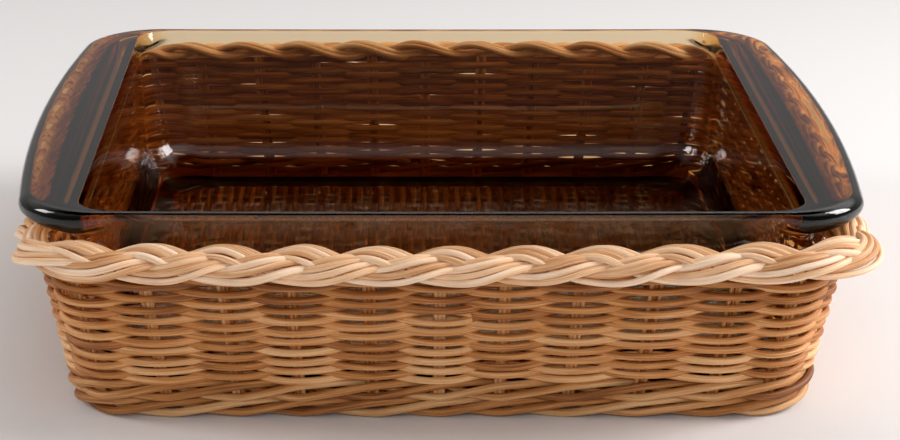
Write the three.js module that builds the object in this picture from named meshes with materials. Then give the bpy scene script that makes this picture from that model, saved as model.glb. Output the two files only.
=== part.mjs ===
// A square reed basket, woven to carry a pressed-glass baking dish, with the dish seated in it.
// Millimetres, +Z up. The origin is the centre of the basket's footprint, on the table it stands on.
// +X runs across the dish from lug to lug, and -Y is the front.
import * as THREE from "three";

// Glass dish: one pressed piece, with a lug at each end of X and a narrow bead at front and back.
const CAVITY_WIDTH = 203; // inner width and depth at the rim
const CAVITY_DEPTH = 51.2; // from the rim's top to the inside floor
const CAVITY_CORNER = 11; // plan radius of the cavity at the rim
const FLOOR_CORNER = 20; // plan radius of the dish's underside
const GLASS_WALL = 4;
const GLASS_FLOOR = 4.5;
const GLASS_FILLET = 16; // inside radius between wall and floor
const FOOT_FILLET = 3.5; // outside radius between wall and underside
const GLASS_DRAFT = THREE.MathUtils.degToRad(5);
const LIP_FLARE = 4; // the walls at front and back flare out by this much more at the top
const FLARE_HEIGHT = 14; // the part of their height that flares
const LUG_REACH = 15.6; // from the cavity's edge to the lug's edge, near a corner
const LUG_BOW = 7.3; // how far the lug's edge bulges in the middle
const LUG_THICKNESS = 6.5;
const LUG_CORNER = 25;
const LUG_ROUND = 5; // width of the rounding along a lug's edge
const BEAD_OVERHANG = 1.6; // how far the bead at front and back stands out from the wall
const BEAD_HEIGHT = 2.8;
const BEAD_ROUND = 0.9; // width of the rounding along the bead's edge
const BEAD_BLEND = 10; // length over which the bead thickens into the lug

// Basket wall.
const STAKE_COUNT = 42; // uprights round the wall: a multiple of 6, so that every pattern closes
const SIDE_STAKES = 10; // of those, the ones on each end wall
const WALL_SLOPE = 0.177; // outward lean of the wall, mm per mm of height
const WALL_CORNER = 16; // plan radius of the wall's middle surface
const WALL_PLAY = 0.3; // room between the dish and the wall, level with the dish's underside
const TUCK_HEIGHT = 5; // the wall curls under below this height
const TUCK_DEPTH = 3;
const STAKE_WIDTH = 3.4; // two reeds side by side
const STAKE_FLAT = 1; // width of the flat between a stake's sloping edges
const STAKE_THICKNESS = 1.7;
const WEAVER_WIDTH = 1.9; // across the wall
const WEAVER_HEIGHT = 1.3;
const WEAVER_LENGTHS = 3; // lengths of reed in each of the two side weavers, which chase each other
const WEAVER_SPLICE = 0.1; // gap between two lengths, in stakes
const CORNER_HOLD = 0.14; // by a corner, how far a reed hugs a stake to either side of it, in stakes
const CORNER_EASE = 0.2; // how much further out a reed then stands, to clear the stake's flat face
const WALE_SIZE = 1.6; // thickness of a waling reed
const WALE_STEP = 3.8; // climb of a waling reed while it lies outside two stakes
const WALE_ROUNDS = 2;
const WALE_REEDS = 3;

// Basket base.
const BASE_ROWS = 3; // base weaver rows between two long stakes
const BASE_WEAVER_THICKNESS = 1.6;
const BASE_MARGIN = 4.6; // from the wall's middle surface to the edge of the base weaving
const EDGE_WEAVER_TAIL = 2.2; // length of an edge weaver past the last stake it crosses

// Plaited border.
const STRAND_COUNT = 3;
const STRAND_WIDTH = 4.8;
const STRAND_THICKNESS = 1.5;
const STRAND_STEPS = 3; // points of a strand for each stake
const BRAID_SWING = 6; // sideways swing of a strand's middle
const BRAID_LIFT = 2.5; // swing of a strand through the braid's thickness
const BRAID_TILT = THREE.MathUtils.degToRad(22); // the braid leans outwards and down
const BRAID_START = 0.5; // a strand crosses the braid's middle halfway between two stakes
const CORNER_RISE = 1.5; // the braid stands this much higher at the corners

// Fits.
const WEAVE_GAP = 0.3; // between reeds that cross
const STACK_GAP = 0.3; // between reeds that lie on each other, and under the dish
const LUG_GAP = 0.3; // between the border at its highest and the lugs that hang over it
const BRAID_PLAY = 0.5; // between the border's inner edge and the dish's flared walls

const glassMaterial = new THREE.MeshStandardMaterial({ color: "#5a3212", roughness: 0.05, metalness: 0 });
const reedMaterial = new THREE.MeshStandardMaterial({ color: "#cf9a68", roughness: 0.7, metalness: 0 });
const braidMaterial = new THREE.MeshStandardMaterial({ color: "#dfb084", roughness: 0.65, metalness: 0 });

// From the middle of a stake to the middle of a reed that is laid over it.
const overStake = (reed) => (STAKE_THICKNESS + reed) / 2 + WEAVE_GAP;
const WEAVER_OFFSET = overStake(WEAVER_WIDTH);
const WALE_OFFSET = overStake(WALE_SIZE) + WALE_SIZE * WALL_SLOPE;
const BASE_OFFSET = overStake(BASE_WEAVER_THICKNESS);
const LONG_STAKE_OFFSET = overStake(STAKE_THICKNESS);

// Heights.
const BASE_HALF = LONG_STAKE_OFFSET + STAKE_THICKNESS / 2 + STACK_GAP;
const BASE_MIDDLE = BASE_HALF;
const DISH_BOTTOM = BASE_MIDDLE + BASE_HALF;
const RIM_TOP = DISH_BOTTOM + GLASS_FLOOR + CAVITY_DEPTH;
const WALE_PITCH = WALE_STEP + WALE_SIZE + 2 * STACK_GAP;
const WALE_TOP = (WALE_ROUNDS - 1) * WALE_PITCH + WALE_STEP + WALE_SIZE;
const WEAVE_START = WALE_TOP + WEAVER_HEIGHT / 2 + 2 * STACK_GAP;

// The dish's outer half width, without lugs, at a height.
const dishHalf = (z) => CAVITY_WIDTH / 2 + GLASS_WALL - (RIM_TOP - z) * Math.tan(GLASS_DRAFT);

// How far the dish's front and back walls flare out at a height.
const flareAt = (z) => LIP_FLARE * Math.max(0, 1 - (RIM_TOP - z) / FLARE_HEIGHT);

// Half width of the basket wall's middle surface at a height.
const WALL_THICKNESS = 2 * WEAVER_OFFSET + WEAVER_WIDTH;
const WALL_FOOT = dishHalf(DISH_BOTTOM) + WALL_PLAY + WALL_THICKNESS / 2 - WALL_SLOPE * DISH_BOTTOM;
function wallHalf(z) {
  const low = THREE.MathUtils.clamp((TUCK_HEIGHT - z) / TUCK_HEIGHT, 0, 1);
  return WALL_FOOT + WALL_SLOPE * z - TUCK_DEPTH * (1 - Math.sqrt(1 - low * low));
}

// A point of a rounded square, and its outward normal, at a share of the way round from the front's middle.
function roundTheSquare(share, half, corner) {
  const straight = half - corner;
  const side = 2 * straight + (Math.PI / 2) * corner;
  let along = (share - Math.floor(share)) * 4 * side + straight;
  const quarter = Math.floor(along / side);
  along -= quarter * side;
  const bend = Math.max(0, along - 2 * straight) / corner;
  const at = new THREE.Vector2(Math.min(along, 2 * straight) - straight, -half);
  at.x += corner * Math.sin(bend);
  at.y += corner * (1 - Math.cos(bend));
  const normal = new THREE.Vector2(Math.sin(bend), -Math.cos(bend));
  const centre = new THREE.Vector2();
  const turn = (quarter * Math.PI) / 2;
  return { at: at.rotateAround(centre, turn), normal: normal.rotateAround(centre, turn) };
}

// A point of the wall beside a stake number, at a height, this far outside the middle surface.
function wallPoint(stake, z, outside = 0) {
  const { at, normal } = roundTheSquare(stake / STAKE_COUNT, wallHalf(z), WALL_CORNER);
  at.addScaledVector(normal, outside);
  return new THREE.Vector3(at.x, at.y, z);
}

// How near a stake number is to a corner: 0 in the middle of a side and 1 at a corner.
function cornerShare(stake) {
  const sides = (stake / STAKE_COUNT) * 4;
  return 2 * Math.abs(sides - Math.round(sides));
}

// True in the bay between two stakes that turns a corner.
function turnsCorner(bay) {
  const side = Math.floor((bay / STAKE_COUNT) * 4 + 0.5);
  return [side - 0.5, side + 0.5].some((corner) => Math.floor((corner * STAKE_COUNT) / 4) === Math.floor(bay));
}

// A strand's swing across the braid, and through its thickness, at an angle of its turn.
const strandAcross = (angle) => BRAID_SWING * Math.sin(angle);
const strandLift = (angle) => -BRAID_LIFT * Math.sin(2 * angle);

// The border's height: at the corners, where it stands highest, it just clears the lugs.
const strandHeight = (angle) =>
  strandLift(angle) * Math.cos(BRAID_TILT) - strandAcross(angle) * Math.sin(BRAID_TILT);
const oneTurn = Array.from({ length: 360 }, (_, degrees) => THREE.MathUtils.degToRad(degrees));
const highestTurn = Math.max(...oneTurn.map(strandHeight));
const STRAND_HALF_HEIGHT = (STRAND_THICKNESS * Math.cos(BRAID_TILT) + STRAND_WIDTH * Math.sin(BRAID_TILT)) / 2;
const BRAID_HEIGHT = RIM_TOP - LUG_THICKNESS - LUG_GAP - CORNER_RISE - highestTurn - STRAND_HALF_HEIGHT;

// From the wall's middle surface out to the braid's middle: the braid's inner edge clears the flared dish.
const strandOut = (angle) => strandAcross(angle) * Math.cos(BRAID_TILT) + strandLift(angle) * Math.sin(BRAID_TILT);
const INNER_EDGE_OUT = (STRAND_THICKNESS * Math.sin(BRAID_TILT) - STRAND_WIDTH * Math.cos(BRAID_TILT)) / 2;
const overhangAt = (angle) => {
  const z = BRAID_HEIGHT + CORNER_RISE + strandHeight(angle) + STRAND_HALF_HEIGHT;
  return dishHalf(z) + flareAt(z) + BRAID_PLAY - strandOut(angle) - INNER_EDGE_OUT - wallHalf(BRAID_HEIGHT);
};
const BRAID_OVERHANG = Math.max(...oneTurn.map(overhangAt));

// The side weave fills the wall from the wale to the border, with as many turns as fit.
const BRAID_HALF_THICKNESS = BRAID_LIFT + STRAND_THICKNESS / 2;
const WEAVE_TOP =
  BRAID_HEIGHT -
  STACK_GAP -
  BRAID_HALF_THICKNESS / Math.cos(BRAID_TILT) -
  (WALL_THICKNESS / 2 - BRAID_OVERHANG) * Math.tan(BRAID_TILT);
const WEAVE_CLIMB = WEAVE_TOP - WEAVER_HEIGHT / 2 - WEAVE_START;
const WEAVER_TURNS = Math.floor(WEAVE_CLIMB / (2 * (WEAVER_HEIGHT + STACK_GAP)) - 0.5);
const WEAVER_RISE = WEAVE_CLIMB / (WEAVER_TURNS + 0.5);

const UP = new THREE.Vector3(0, 0, 1);

// How much higher the border stands beside a stake number than in the middle of a side.
const cornerRise = (stake) => CORNER_RISE * cornerShare(stake) ** 2;

// The braid's middle line, its direction across, outwards and down, and the direction its face looks.
function braidFrame(stake) {
  const z = BRAID_HEIGHT + cornerRise(stake);
  const { at, normal } = roundTheSquare(stake / STAKE_COUNT, wallHalf(BRAID_HEIGHT), WALL_CORNER);
  at.addScaledVector(normal, BRAID_OVERHANG);
  const out = new THREE.Vector3(normal.x, normal.y, 0);
  return {
    middle: new THREE.Vector3(at.x, at.y, z),
    across: out.clone().multiplyScalar(Math.cos(BRAID_TILT)).addScaledVector(UP, -Math.sin(BRAID_TILT)),
    face: out.clone().multiplyScalar(Math.sin(BRAID_TILT)).addScaledVector(UP, Math.cos(BRAID_TILT)),
  };
}

// A closed surface from rings of equally many points: joined to the first ring, or capped at both ends.
function skin(rings, looped) {
  const count = rings[0].length;
  const corners = [];
  const triangle = (a, b, c) => corners.push(...a.toArray(), ...b.toArray(), ...c.toArray());
  const spans = looped ? rings.length : rings.length - 1;
  for (let i = 0; i < spans; i++) {
    const ring = rings[i];
    const next = rings[(i + 1) % rings.length];
    for (let j = 0; j < count; j++) {
      const k = (j + 1) % count;
      triangle(ring[j], ring[k], next[k]);
      triangle(ring[j], next[k], next[j]);
    }
  }
  if (!looped) {
    const last = rings[rings.length - 1];
    for (let j = 1; j < count - 1; j++) {
      triangle(rings[0][0], rings[0][j + 1], rings[0][j]);
      triangle(last[0], last[j], last[j + 1]);
    }
  }
  const geometry = new THREE.BufferGeometry();
  geometry.setAttribute("position", new THREE.Float32BufferAttribute(corners, 3));
  geometry.computeVertexNormals();
  return geometry;
}

// A section, as points across and up, swept along stops. It is mitred at each stop, so it keeps its thickness.
function sweep(stops, section, looped = false) {
  const last = stops.length - 1;
  const rings = stops.map(({ point, up }, i) => {
    const before = stops[i > 0 ? i - 1 : looped ? last : 0].point;
    const after = stops[i < last ? i + 1 : looped ? 0 : last].point;
    const arriving = point.clone().sub(before).normalize();
    const leaving = after.clone().sub(point).normalize();
    const tangent = arriving.clone().add(leaving).normalize();
    const bend = leaving.clone().sub(arriving).normalize();
    const isEnd = !looped && (i === 0 || i === last);
    const stretch = isEnd ? 0 : 1 / tangent.dot(leaving) - 1;
    const side = tangent.clone().cross(up).normalize();
    const level = side.clone().cross(tangent);
    return section.map(([across, high]) => {
      const offset = side.clone().multiplyScalar(across).addScaledVector(level, high);
      offset.addScaledVector(bend, stretch * offset.dot(bend));
      return offset.add(point);
    });
  });
  return skin(rings, looped);
}
const stopAt = (point, up = UP) => ({ point, up });

const bar = (width, height) => [
  [-width / 2, -height / 2],
  [-width / 2, height / 2],
  [width / 2, height / 2],
  [width / 2, -height / 2],
];
const stakeSection = [
  [-STAKE_WIDTH / 2, 0],
  [-STAKE_FLAT / 2, STAKE_THICKNESS / 2],
  [STAKE_FLAT / 2, STAKE_THICKNESS / 2],
  [STAKE_WIDTH / 2, 0],
  [STAKE_FLAT / 2, -STAKE_THICKNESS / 2],
  [-STAKE_FLAT / 2, -STAKE_THICKNESS / 2],
];

// A reed that runs round the wall, through places given as a stake number, a height and how far outside.
function wallReed(places, section, looped = false) {
  const rings = places.map(({ at, z, outside }) =>
    section.map(([across, high]) => wallPoint(at, z, outside + across).setZ(z + high)),
  );
  return skin(rings, looped);
}

// Where a reed passes a stake: one place, or a short stretch at the stakes on either side of a corner.
function placesAtStake(stake, outside) {
  if (!turnsCorner(stake - 0.5) && !turnsCorner(stake + 0.5)) return [{ at: stake, outside }];
  const eased = outside > 0 ? outside + CORNER_EASE : outside;
  return [stake - CORNER_HOLD, stake + CORNER_HOLD].map((at) => ({ at, outside: eased }));
}

// A side weaver passes outside every other stake. Weaver b lies half a rise above weaver a, and opposite it.
// Each length starts and ends between two stakes.
function sideWeaver(which, length) {
  const stakesBefore = (lengths) => Math.round((STAKE_COUNT * WEAVER_TURNS * lengths) / WEAVER_LENGTHS);
  const firstStake = stakesBefore(length) + 1;
  const lastStake = stakesBefore(length + 1);
  const places = [{ at: firstStake - (1 - WEAVER_SPLICE) / 2, outside: 0 }];
  for (let stake = firstStake; stake <= lastStake; stake++) {
    if ((stake + which) % 2 === 0) places.push(...placesAtStake(stake, WEAVER_OFFSET));
    else places.push({ at: stake, outside: -WEAVER_OFFSET });
    if (turnsCorner(stake + 0.5)) places.push({ at: stake + 0.5, outside: 0 });
  }
  places.push({ at: lastStake + (1 - WEAVER_SPLICE) / 2, outside: 0 });
  for (const place of places) place.z = WEAVE_START + WEAVER_RISE * (place.at / STAKE_COUNT + which / 2);
  return wallReed(places, bar(WEAVER_WIDTH, WEAVER_HEIGHT));
}

// A waling reed lies outside two stakes while it climbs, passes inside the third and drops again. It is level
// along its lowest stretch, which is what the basket stands on.
const CLEAR_OF_BASE = BASE_MIDDLE + (STAKE_THICKNESS + WALE_SIZE) / 2 + 2 * STACK_GAP;
function waleReed(round, reed) {
  const low = WALE_SIZE / 2 + round * WALE_PITCH;
  const high = low + WALE_STEP;
  const inside = round === 0 ? CLEAR_OF_BASE : high - WALE_SIZE / 2;
  const atStakes = [
    { z: low, outside: WALE_OFFSET },
    { z: high, outside: WALE_OFFSET },
    { z: inside, outside: -WALE_OFFSET },
  ];
  const afterStakes = [
    { z: (low + high) / 2, outside: WALE_OFFSET },
    { z: (high + inside) / 2, outside: 0 },
    { z: low, outside: 0 },
  ];
  const places = [];
  for (let stake = 0; stake < STAKE_COUNT; stake++) {
    const turn = (stake + reed) % WALE_REEDS;
    const { z, outside } = atStakes[turn];
    places.push(...placesAtStake(stake, outside).map((place) => ({ ...place, z })));
    const bay = stake + 0.5;
    if (turn === 2 || turnsCorner(bay)) places.push({ at: bay, ...afterStakes[turn] });
  }
  return wallReed(places, bar(WALE_SIZE, WALE_SIZE), true);
}

// A border strand swings across the braid once every three stakes, and through its thickness twice.
function borderStrand(strand) {
  const stops = [];
  for (let i = 0; i < STAKE_COUNT * STRAND_STEPS; i++) {
    const stake = i / STRAND_STEPS;
    const angle = (2 * Math.PI * (stake - BRAID_START + strand)) / STRAND_COUNT;
    const { middle, across, face } = braidFrame(stake);
    middle.addScaledVector(across, strandAcross(angle)).addScaledVector(face, strandLift(angle));
    stops.push(stopAt(middle, face));
  }
  return sweep(stops, bar(STRAND_WIDTH, STRAND_THICKNESS), true);
}

// A stake from the underside of the border down to its square bend at the edge of the base.
function stakeUpright(stake) {
  const { normal } = roundTheSquare(stake / STAKE_COUNT, WALL_FOOT, WALL_CORNER);
  const inward = new THREE.Vector3(-normal.x, -normal.y, 0);
  return [
    stopAt(wallPoint(stake, WEAVE_TOP + cornerRise(stake)), inward),
    stopAt(wallPoint(stake, TUCK_HEIGHT), inward),
    stopAt(wallPoint(stake, BASE_MIDDLE)),
  ];
}

// Stakes that run from the left wall, straight across the base, to the right wall.
const firstRight = Math.ceil(STAKE_COUNT / 4 - SIDE_STAKES / 2);
const crossStakeY = (index) => wallPoint(firstRight + index, BASE_MIDDLE).y;
function crossStake(index) {
  const right = firstRight + index;
  const stops = [...stakeUpright(STAKE_COUNT - right), ...stakeUpright(right).reverse()];
  return sweep(stops, stakeSection);
}

// Stops from front to back that pass over one cross stake and under the next.
function overAndUnder(x, offset) {
  const stops = [];
  for (let index = 0; index < SIDE_STAKES; index++) {
    const lift = index % 2 === 0 ? offset : -offset;
    stops.push(stopAt(new THREE.Vector3(x, crossStakeY(index), BASE_MIDDLE + lift)));
  }
  return stops;
}

// Stakes that run from the front wall, over and under the cross stakes, to the back wall.
const LONG_STAKES = STAKE_COUNT / 2 - SIDE_STAKES;
const frontStake = (index) => index - (LONG_STAKES - 1) / 2;
const longStakeX = (index) => wallPoint(frontStake(index), BASE_MIDDLE).x;
function longStake(index) {
  const front = frontStake(index);
  const back = stakeUpright(STAKE_COUNT / 2 - front).reverse();
  const stops = [...stakeUpright(front), ...overAndUnder(longStakeX(index), LONG_STAKE_OFFSET), ...back];
  return sweep(stops, stakeSection);
}

// A base weaver goes back and forth over the cross stakes, and fills the bay between two long stakes.
const BASE_EDGE = wallHalf(BASE_MIDDLE) - BASE_MARGIN;
function baseWeaver(bay) {
  const from = longStakeX(bay) + STAKE_WIDTH / 2;
  const to = longStakeX(bay + 1) - STAKE_WIDTH / 2;
  const pitch = (to - from) / BASE_ROWS;
  const width = pitch - STACK_GAP;
  const turn = BASE_EDGE - width / 2;
  const stops = [];
  for (let row = 0; row < BASE_ROWS; row++) {
    const x = from + pitch * (row + 0.5);
    const forward = row % 2 === 0;
    const line = [
      stopAt(new THREE.Vector3(x, -turn, BASE_MIDDLE)),
      ...overAndUnder(x, forward ? -BASE_OFFSET : BASE_OFFSET),
      stopAt(new THREE.Vector3(x, turn, BASE_MIDDLE)),
    ];
    stops.push(...(forward ? line : line.reverse()));
  }
  return sweep(stops, bar(width, BASE_WEAVER_THICKNESS));
}

// A single base weaver between the outermost long stake and the wall: side is -1 on the left and 1 on the right.
function edgeWeaver(side) {
  const from = longStakeX(LONG_STAKES - 1) + (STAKE_WIDTH + STACK_GAP) / 2;
  const to = wallHalf(BASE_MIDDLE) - WALE_OFFSET - WALE_SIZE / 2 - STACK_GAP;
  const x = (side * (from + to)) / 2;
  const crossings = overAndUnder(x, -BASE_OFFSET);
  const tail = (stop, direction) =>
    stopAt(stop.point.clone().add(new THREE.Vector3(0, direction * EDGE_WEAVER_TAIL, 0)));
  const stops = [tail(crossings[0], -1), ...crossings, tail(crossings[crossings.length - 1], 1)];
  return sweep(stops, bar(to - from, BASE_WEAVER_THICKNESS));
}

// One level of the dish: a rounded rectangle whose two ends bow outwards, at one height along the front and
// back and at another at the ends.
const CORNER_POINTS = 5;
const SIDE_POINTS = 6;
function dishRing({ x, y = x, corner, bow = 0, z, endZ = z }) {
  const ring = [];
  const place = (px, py) => {
    const bulge = bow * (1 - (py / y) ** 2) * THREE.MathUtils.clamp((Math.abs(px) - x + corner) / corner, 0, 1);
    const share = THREE.MathUtils.smoothstep(Math.abs(px), CAVITY_WIDTH / 2 - BEAD_BLEND, CAVITY_WIDTH / 2);
    ring.push(new THREE.Vector3(px + Math.sign(px) * bulge, py, THREE.MathUtils.lerp(z, endZ, share)));
  };
  for (let quarter = 0; quarter < 4; quarter++) {
    const sx = quarter === 0 || quarter === 3 ? 1 : -1;
    const sy = quarter < 2 ? 1 : -1;
    for (let i = 0; i <= CORNER_POINTS; i++) {
      const angle = ((quarter + i / CORNER_POINTS) * Math.PI) / 2;
      place(sx * (x - corner) + corner * Math.cos(angle), sy * (y - corner) + corner * Math.sin(angle));
    }
    for (let i = 1; i < SIDE_POINTS; i++) {
      const t = 1 - (2 * i) / SIDE_POINTS;
      if (quarter % 2 === 0) place(sx * t * (x - corner), sy * y);
      else place(sx * x, sy * t * (y - corner));
    }
  }
  return ring;
}

// The dish's rings go up its outside, round the rim and down its inside.
const FILLET_STEPS = 4;
function filletRings(half, bottom, radius, corner) {
  const rings = [];
  const tangent = bottom + radius * (1 - Math.sin(GLASS_DRAFT));
  for (let i = 0; i <= FILLET_STEPS; i++) {
    const angle = (i / FILLET_STEPS) * (Math.PI / 2 - GLASS_DRAFT);
    const x = half(tangent) - radius * (Math.cos(GLASS_DRAFT) - Math.sin(angle));
    rings.push(dishRing({ x, corner, z: bottom + radius * (1 - Math.cos(angle)) }));
  }
  return rings;
}

const RIM_STEPS = 3;
function glassDish() {
  const beadUnder = RIM_TOP - BEAD_HEIGHT;
  const lugUnder = RIM_TOP - LUG_THICKNESS;
  const flareStart = RIM_TOP - FLARE_HEIGHT;
  const wallUnderBead = dishHalf(beadUnder) + flareAt(beadUnder);
  // A level of the rim's outer edge, from its underside at -90 degrees to its top at 90.
  const edge = (turn) => {
    const lugInset = LUG_ROUND * (1 - Math.cos(turn));
    const beadInset = BEAD_ROUND * (1 - Math.cos(turn));
    return dishRing({
      x: CAVITY_WIDTH / 2 + LUG_REACH - lugInset,
      y: wallUnderBead + BEAD_OVERHANG - beadInset,
      corner: LUG_CORNER - lugInset,
      bow: LUG_BOW,
      z: beadUnder + (BEAD_HEIGHT * (1 + Math.sin(turn))) / 2,
      endZ: lugUnder + (LUG_THICKNESS * (1 + Math.sin(turn))) / 2,
    });
  };
  const edges = [];
  for (let i = -RIM_STEPS; i <= RIM_STEPS; i++) edges.push(edge(((i / RIM_STEPS) * Math.PI) / 2));
  const cavityHalf = (z) => dishHalf(z) - GLASS_WALL;
  const inside = filletRings(cavityHalf, DISH_BOTTOM + GLASS_FLOOR, GLASS_FILLET, FLOOR_CORNER - GLASS_WALL);
  const rings = [
    ...filletRings(dishHalf, DISH_BOTTOM, FOOT_FILLET, FLOOR_CORNER),
    dishRing({ x: dishHalf(flareStart), corner: CAVITY_CORNER + GLASS_WALL, z: flareStart }),
    dishRing({
      x: dishHalf(beadUnder),
      y: wallUnderBead,
      corner: CAVITY_CORNER + GLASS_WALL,
      z: beadUnder,
      endZ: lugUnder,
    }),
    ...edges,
    dishRing({ x: CAVITY_WIDTH / 2, y: CAVITY_WIDTH / 2 + LIP_FLARE, corner: CAVITY_CORNER, z: RIM_TOP }),
    dishRing({ x: cavityHalf(flareStart), corner: CAVITY_CORNER, z: flareStart }),
    ...inside.reverse(),
  ];
  return skin(rings, false);
}

const assembly = new THREE.Group();
function add(name, geometry, material) {
  const mesh = new THREE.Mesh(geometry, material);
  mesh.name = name;
  assembly.add(mesh);
}
const numbered = (name, index) => `${name}_${String(index + 1).padStart(2, "0")}`;

for (let i = 0; i < SIDE_STAKES; i++) add(numbered("cross_stake", i), crossStake(i), reedMaterial);
for (let i = 0; i < LONG_STAKES; i++) add(numbered("long_stake", i), longStake(i), reedMaterial);
for (let i = 0; i < LONG_STAKES - 1; i++) add(numbered("base_weaver", i), baseWeaver(i), reedMaterial);
add("edge_weaver_left", edgeWeaver(-1), reedMaterial);
add("edge_weaver_right", edgeWeaver(1), reedMaterial);
for (let round = 0; round < WALE_ROUNDS; round++) {
  for (let reed = 0; reed < WALE_REEDS; reed++) {
    add(`wale_round_${round + 1}_reed_${reed + 1}`, waleReed(round, reed), reedMaterial);
  }
}
for (let length = 0; length < WEAVER_LENGTHS; length++) {
  add(`side_weaver_a${length + 1}`, sideWeaver(0, length), reedMaterial);
  add(`side_weaver_b${length + 1}`, sideWeaver(1, length), reedMaterial);
}
for (let strand = 0; strand < STRAND_COUNT; strand++) {
  add(`border_strand_${strand + 1}`, borderStrand(strand), braidMaterial);
}
add("glass_dish", glassDish(), glassMaterial);

export default assembly;
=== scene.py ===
import math

import bpy
import numpy as np
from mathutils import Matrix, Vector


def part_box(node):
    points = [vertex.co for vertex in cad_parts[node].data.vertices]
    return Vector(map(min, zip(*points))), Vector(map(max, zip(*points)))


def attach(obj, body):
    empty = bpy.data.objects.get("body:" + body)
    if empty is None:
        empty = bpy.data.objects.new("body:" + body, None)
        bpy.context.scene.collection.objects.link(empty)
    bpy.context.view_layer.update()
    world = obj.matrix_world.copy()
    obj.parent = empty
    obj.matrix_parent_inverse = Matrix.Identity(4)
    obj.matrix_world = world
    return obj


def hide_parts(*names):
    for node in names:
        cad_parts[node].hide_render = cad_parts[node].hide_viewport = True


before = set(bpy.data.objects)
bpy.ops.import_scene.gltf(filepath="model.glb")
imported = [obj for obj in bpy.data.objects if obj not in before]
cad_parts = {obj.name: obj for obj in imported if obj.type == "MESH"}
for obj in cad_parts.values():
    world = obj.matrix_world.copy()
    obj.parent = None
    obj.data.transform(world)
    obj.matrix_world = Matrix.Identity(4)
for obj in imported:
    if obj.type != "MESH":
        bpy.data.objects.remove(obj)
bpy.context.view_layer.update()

# A square basket of peeled round reed with a plaited border, and the amber glass dish that it carries.
# Sizes are in millimetres until a mesh is made. A place round the wall is a stake number, counted from the
# middle of the front to the right, and can lie between two stakes.
MM = 0.001
dish_low, dish_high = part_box("glass_dish")
RIM_TOP = dish_high[2] / MM
DISH_BOTTOM = dish_low[2] / MM

# Dish.
CAVITY_WIDTH = 203
CAVITY_CORNER = 11
FLOOR_CORNER = 20
GLASS_WALL = 4
GLASS_FLOOR = 4.5
GLASS_FILLET = 16
FOOT_FILLET = 3.5
GLASS_DRAFT = math.radians(5)
LUG_REACH = 15.6
LUG_EDGE = CAVITY_WIDTH / 2 + LUG_REACH
LUG_BOW = 7.3
LUG_THICKNESS = 6.5
LUG_UNDER = RIM_TOP - LUG_THICKNESS
LUG_CORNER = 21
LUG_ROUND = 5
BEAD_HEIGHT = 3.0
BEAD_UNDER = RIM_TOP - BEAD_HEIGHT
BEAD_BLEND = 10
LIP_ROUND = 0.5
# How deep the lip's rounding is at front and back, as a share of that at the lugs.
LIP_DROP = 0.7
# The front and back walls flare out towards the rim, on the outside a little less than on the inside.
LIP_FLARE = 4.0
LIP_THINS = 0.9
WALL_FLARE = LIP_FLARE - LIP_THINS
FLARE_HEIGHT = 36
RIM_DIP = 0.25
# The bead's outline from its underside to its top: outwards from the wall, and down from the rim.
BEAD_OUT = (0.0, 0.15, 0.3, 0.2, 0.0, -0.9)
BEAD_DOWN = (BEAD_HEIGHT, 2.4, 1.75, 1.0, 0.3, 0.0)
# Levels of the mesh between foot and rim, as shares of the way up the outside and down the inside. Outside
# they crowd where the flare starts. None is at the end of the wall, where the rim has its own ring.
WALL_LEVELS = (0.15, 0.25, 0.29, 0.33, 0.45, 0.6, 0.75, 0.86, 0.94, 0.985)
CAVITY_LEVELS = (0.02, 0.1, 0.2, 0.3, 0.4, 0.5, 0.6, 0.7, 0.8, 0.9)
CORNER_POINTS = 20
SIDE_POINTS = 48
FILLET_STEPS = 12
EDGE_STEPS = 16
LIP_STEPS = 6

# Wall.
STAKES = 42
SIDE_STAKES = 10
LONG_STAKES = STAKES // 2 - SIDE_STAKES
WALL_SLOPE = 0.177
WALL_CORNER = 16
WALL_FOOT = 102.86
TUCK_HEIGHT = 5
TUCK_DEPTH = 3

# Stakes. The tuck is how far below the border's middle they end, and the pitch is halfway up the wall.
STAKE_REED = 0.68
LONG_REED_GAIN = 1.02
STAKE_SPREAD = 1.2
STAKE_TUCK = 1.5
STAKE_PITCH = 20.0
UPRIGHT_POINTS = 20
# How far each front or back stake stands from even spacing, left to right, and how far others may.
FRONT_DRIFT = (-0.8, -1.1, 0.4, -1.8, 0.0, -0.6, -2.8, -2.5, -1.8, 0.0, -4.0)
BACK_DRIFT = (3.0, 1.3, 1.8, 1.3, 1.1, -0.5, -1.1, -2.7, -3.5, -4.5, -5.0)
OTHER_DRIFT = 1.3

# Side weavers. The two reeds chase each other round the wall, each in lengths of three turns. The first
# lengths start some stakes early, down on the waling, and the last ones run on along the border.
WEAVERS = 2
WEAVER_LENGTHS = 3
WEAVER_TURNS = 3
STARTS_EARLY = (21, 30)
ENDS_LATE = (73, 60)
WEAVER_REED = 1.0
WEAVER_OFFSET = 1.8
WEAVER_SAG = 0.42
WAVE_GAIN = 1.04
CREST_FLATTENS = 0.06
WEAVE_START = 12.65
WEAVE_FLOOR = 11.9
WEAVE_TOP = 47.3
WEAVE_UNDER = 3.1
WEAVER_RISE = 2.85
WEAVER_RISE_GAIN = 0.0425
POINTS_PER_STAKE = 14
# A length runs on past its last stake, in stakes: straight at first, and then bent in by the depth.
WEAVER_TAIL = 0.7
TAIL_STRAIGHT = 0.4
TAIL_BEND = 0.3
TAIL_DEPTH = 0.9
# Height of a reed's section as a share of its width: outside a stake, inside one, and least between two,
# where it is also as high as the rows leave room for, with an overlap.
OUTSIDE_HEIGHT = 1.02
INSIDE_HEIGHT = 1.14
CROSSING_HEIGHT = 0.84
CROSSING_OVERLAP = 0.4

# Waling. A round starts at the back and overlaps its own start.
WALE_ROUNDS = 2
WALE_REEDS = 3
WALE_REED = 1.18
WALE_OFFSET = 1.8
WALE_STEP = 3.9
WALE_PITCH = 5.3
WALE_START = 20.6
WALE_OVERLAP = 0.9
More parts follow.
